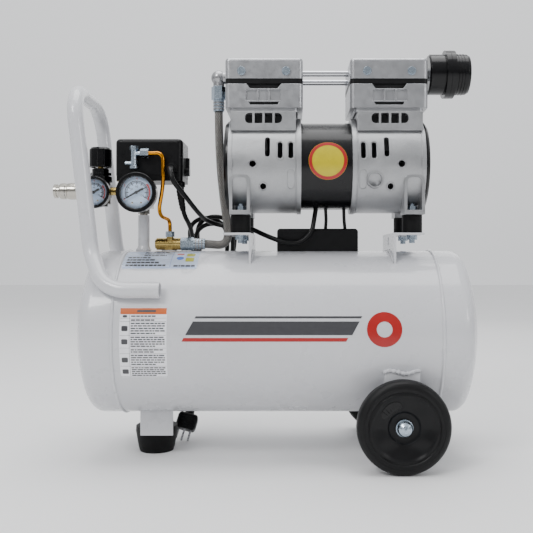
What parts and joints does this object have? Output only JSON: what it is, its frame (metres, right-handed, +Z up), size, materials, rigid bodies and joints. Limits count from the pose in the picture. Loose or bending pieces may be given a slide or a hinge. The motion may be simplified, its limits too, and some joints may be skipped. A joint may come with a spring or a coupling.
{
  "type": "air compressor",
  "caption": "Oil-free air compressor: cast pump with black motor on a white horizontal tank with wheels, rubber foot, tubular handle, gauges, pressure switch and quick coupler.",
  "frame": {"origin": "on the floor, under the centre of the object's box measured without the power cord", "axes": "+Z up, +X along the tank from the handle end to the wheel end, front with the gauges towards -Y"},
  "size_m": [0.6196, 0.3099, 0.592],
  "materials": {
    "white_paint": "gloss powder coat",
    "cast_aluminium": "satin cast",
    "black_steel": "gloss black",
    "black_plastic": "satin",
    "rubber": "matte",
    "zinc_steel": "blue zinc plate",
    "steel": "machined",
    "chrome": "polished",
    "brass": "satin",
    "cast_zinc": "satin nickel",
    "braid": "braided",
    "copper": "drawn tube, copper colour",
    "glass": "clear",
    "needle_black": "satin",
    "filter_foam": "pleated felt",
    "cord_pvc": "semi-matte PVC"
  },
  "bodies": {
    "compressor": {"air_filter_body": "black_plastic", "air_filter_cover": "black_plastic", "air_filter_element": "filter_foam", "axle_hardware": "zinc_steel", "braided_hose": "braid", "cable_glands": "black_plastic", "capacitor_box": "black_plastic", "carry_handle": "white_paint", "check_valve": "brass", "coupler_body": "brass", "crankcases": "cast_aluminium", "cylinder_blocks": "cast_aluminium", "cylinder_heads": "cast_aluminium", "cylinder_sleeves": "steel", "discharge_elbow": "cast_zinc", "drain_valve_body": "brass", "fan_covers": "black_plastic", "fasteners": "zinc_steel", "gauge_cases": "black_plastic", "gauge_lenses": "glass", "head_pipes": "chrome", "line_fittings": "zinc_steel", "main_bearings": "steel", "manifold": "brass", "motor_shell": "black_steel", "motor_wiring": "cord_pvc", "outlet_nipple": "brass", "plug_body": "black_plastic", "plug_pins": "steel", "power_cord_hank": "cord_pvc", "power_cord_tube": "cord_pvc", "pump_brackets": "white_paint", "regulator_body": "cast_zinc", "rubber_foot": "rubber", "rubber_mounts": "rubber", "safety_valve": "brass", "stator": "steel", "switch_base": "black_plastic", "switch_cover": "black_plastic", "tank_barrel": "white_paint", "tank_ends": "white_paint", "tank_ports": "white_paint", "undercarriage": "white_paint", "unloader_tube": "copper", "valve_plates": "black_steel"},
    "front_wheel": {"front_wheel": "black_plastic"},
    "rear_wheel": {"rear_wheel": "black_plastic"},
    "crank": {"motor_shaft": "steel", "rotor_core": "steel", "cooling_fans": "cast_aluminium"},
    "piston_l": {"piston_left": "cast_aluminium"},
    "piston_r": {"piston_right": "cast_aluminium"},
    "reg_screw": {"regulator_screw": "brass"},
    "reg_knob": {"regulator_knob": "black_plastic"},
    "tank_needle": {"tank_gauge_needle": "needle_black"},
    "outlet_needle": {"outlet_gauge_needle": "needle_black"},
    "lever": {"switch_lever": "black_plastic"},
    "sleeve": {"coupler_sleeve": "chrome"},
    "drain_knob": {"drain_valve_knob": "brass"},
    "ring": {"safety_ring": "steel"}
  },
  "joints": [
    {"name": "front_wheel_spin", "type": "hinge", "parent": "compressor", "child": "front_wheel", "pos_m": [0.1898, -0.126, 0.0625], "axis": [0, 1, 0], "continuous": true},
    {"name": "rear_wheel_spin", "type": "hinge", "parent": "compressor", "child": "rear_wheel", "pos_m": [0.1898, 0.126, 0.0625], "axis": [0, 1, 0], "continuous": true},
    {"name": "crankshaft_spin", "type": "hinge", "parent": "compressor", "child": "crank", "pos_m": [0.0918, 0, 0.42], "axis": [1, 0, 0], "continuous": true},
    {"name": "piston_left_slide", "type": "slide", "parent": "compressor", "child": "piston_l", "axis": [0, 0, 1], "range_m": [0, 0.01]},
    {"name": "piston_right_slide", "type": "slide", "parent": "compressor", "child": "piston_r", "axis": [0, 0, 1], "range_m": [0, 0.01]},
    {"name": "regulator_screw_turn", "type": "hinge", "parent": "compressor", "child": "reg_screw", "pos_m": [-0.2418, 0, 0.42], "axis": [0, 0, 1], "range_deg": [0, 1080]},
    {"name": "regulator_knob_lift", "type": "slide", "parent": "reg_screw", "child": "reg_knob", "axis": [0, 0, 1], "range_m": [0, 0.003]},
    {"name": "tank_needle_turn", "type": "hinge", "parent": "compressor", "child": "tank_needle", "pos_m": [-0.1776, -0.053, 0.3776], "axis": [0, 1, 0], "range_deg": [0, 240], "stiffness_Nm_per_rad": 0.0002},
    {"name": "outlet_needle_turn", "type": "hinge", "parent": "compressor", "child": "outlet_needle", "pos_m": [-0.2418, -0.039, 0.379], "axis": [0, 1, 0], "range_deg": [0, 240], "stiffness_Nm_per_rad": 0.0002},
    {"name": "switch_lever_swing", "type": "hinge", "parent": "compressor", "child": "lever", "pos_m": [-0.1112, -0.004, 0.412], "axis": [1, 0, 0], "range_deg": [0, 30]},
    {"name": "coupler_sleeve_slide", "type": "slide", "parent": "compressor", "child": "sleeve", "axis": [1, 0, 0], "range_m": [0, 0.005], "stiffness_N_per_m": 600},
    {"name": "drain_knob_turn", "type": "hinge", "parent": "compressor", "child": "drain_knob", "pos_m": [0.1698, -0.009, 0.045], "axis": [0, 1, 0], "range_deg": [0, 90]},
    {"name": "safety_ring_pull", "type": "slide", "parent": "compressor", "child": "ring", "axis": [0, 1, 0], "range_m": [0, 0.004], "stiffness_N_per_m": 500}
  ]
}
